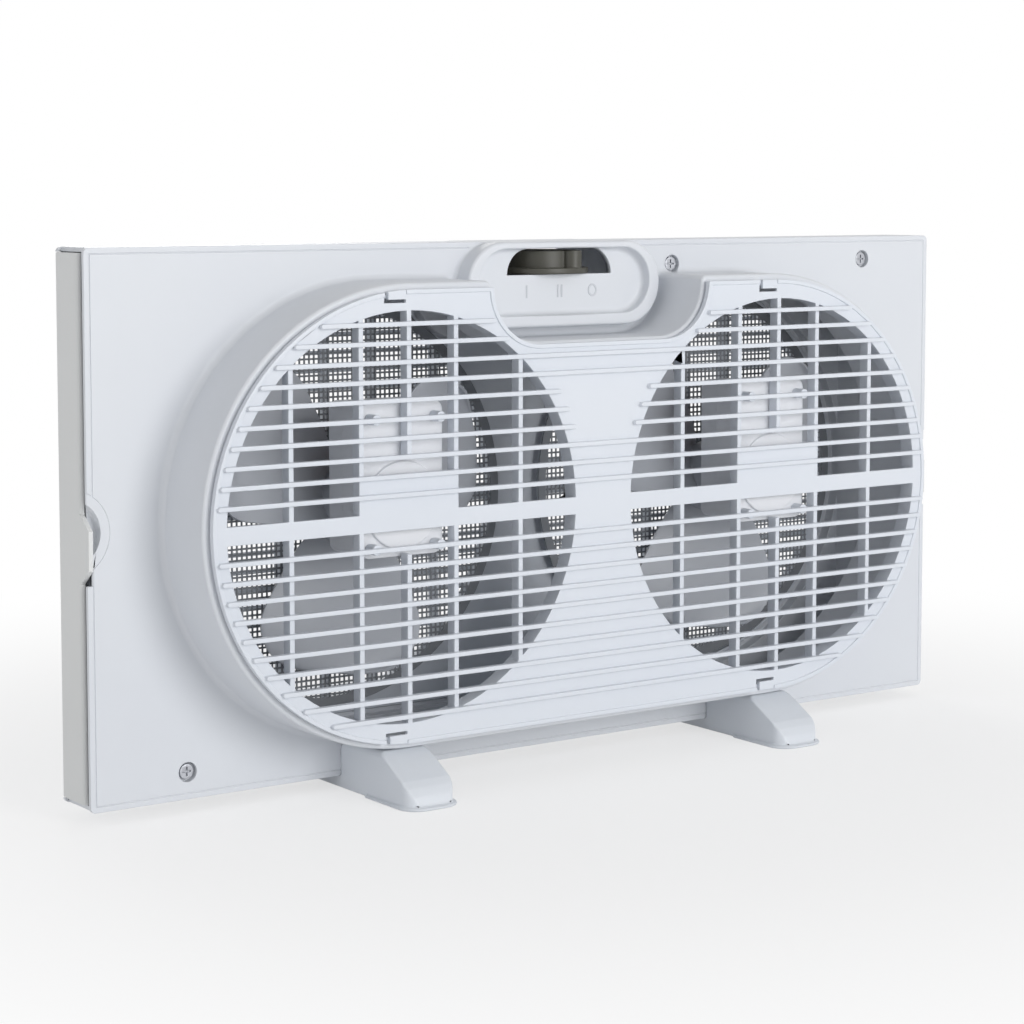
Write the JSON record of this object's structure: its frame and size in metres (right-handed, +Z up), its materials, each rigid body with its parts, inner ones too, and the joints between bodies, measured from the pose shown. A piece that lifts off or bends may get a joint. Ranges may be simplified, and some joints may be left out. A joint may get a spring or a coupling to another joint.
{
  "type": "window fan",
  "caption": "Reversible window fan: flat panel with a shroud and ribbed grilles, dial on top, feet, and side frames that slide out with pleated curtains.",
  "frame": {"origin": "middle of the fan's box, on the ground under the feet", "axes": "+X along the panel's width, +Y from the exhaust side to the room side, +Z up"},
  "size_m": [0.61, 0.123, 0.307],
  "materials": {
    "housing": "cool white moulded plastic, satin",
    "grille": "bluish white moulded plastic, satin",
    "screen": "light grey moulded net",
    "foot": "cool white moulded plastic, satin",
    "motor_cover": "white moulded plastic",
    "lamination": "lacquered steel laminations",
    "coil": "enamelled copper winding on a bobbin",
    "bracket_steel": "zinc plated pressing",
    "bronze": "sintered bronze and brass",
    "lead_jacket": "black sleeve",
    "shaft_steel": "ground steel",
    "blade": "grey moulded plastic",
    "side_frame": "cream grey moulded plastic",
    "curtain": "pleated sheet",
    "dial": "olive grey moulded plastic",
    "switch_case": "black moulded plastic",
    "gland": "black bush",
    "screw_zinc": "zinc plated screws"
  },
  "bodies": {
    "root": {"exhaust_shell": "housing", "room_shell": "housing", "exhaust_grille": "grille", "room_grille": "grille", "bug_screen_left": "screen", "bug_screen_right": "screen", "foot_left": "foot", "foot_right": "foot", "motor_cover_left": "motor_cover", "motor_cover_right": "motor_cover", "stator_left": "lamination", "stator_right": "lamination", "coil_left": "coil", "coil_right": "coil", "bearing_brackets_left": "bracket_steel", "bearing_brackets_right": "bracket_steel", "bushes_left": "bronze", "bushes_right": "bronze", "motor_lead_left": "lead_jacket", "motor_lead_right": "lead_jacket", "side_curtain_left": "curtain", "side_curtain_right": "curtain", "rotary_switch": "switch_case", "switch_nut": "bronze", "cord_gland": "gland", "shell_screws": "screw_zinc", "motor_screws": "screw_zinc", "motor_bolts": "screw_zinc", "foot_screws": "screw_zinc"},
    "rotor_left": {"armature_left": "lamination", "shaft_left": "shaft_steel", "blades_left": "blade", "blade_nut_left": "motor_cover"},
    "rotor_right": {"armature_right": "lamination", "shaft_right": "shaft_steel", "blades_right": "blade", "blade_nut_right": "motor_cover"},
    "extender_left": {"side_frame_left": "side_frame"},
    "extender_right": {"side_frame_right": "side_frame"},
    "dial": {"speed_dial": "dial", "dial_spindle": "shaft_steel"}
  },
  "joints": [
    {"name": "left_rotor_spin", "type": "hinge", "parent": "root", "child": "rotor_left", "pos_m": [-0.134, 0.0135, 0.1575], "axis": [0, 1, 0], "continuous": true},
    {"name": "right_rotor_spin", "type": "hinge", "parent": "root", "child": "rotor_right", "pos_m": [0.134, 0.0135, 0.1575], "axis": [0, 1, 0], "continuous": true},
    {"name": "left_frame_slide", "type": "slide", "parent": "root", "child": "extender_left", "axis": [-1, 0, 0], "range_m": [0, 0.165], "deforming": ["side_curtain_left"]},
    {"name": "right_frame_slide", "type": "slide", "parent": "root", "child": "extender_right", "axis": [1, 0, 0], "range_m": [0, 0.165], "deforming": ["side_curtain_right"]},
    {"name": "dial_turn", "type": "hinge", "parent": "root", "child": "dial", "pos_m": [0, 0.0305, 0.287], "axis": [0, 0, -1], "range_deg": [0, 90]}
  ]
}
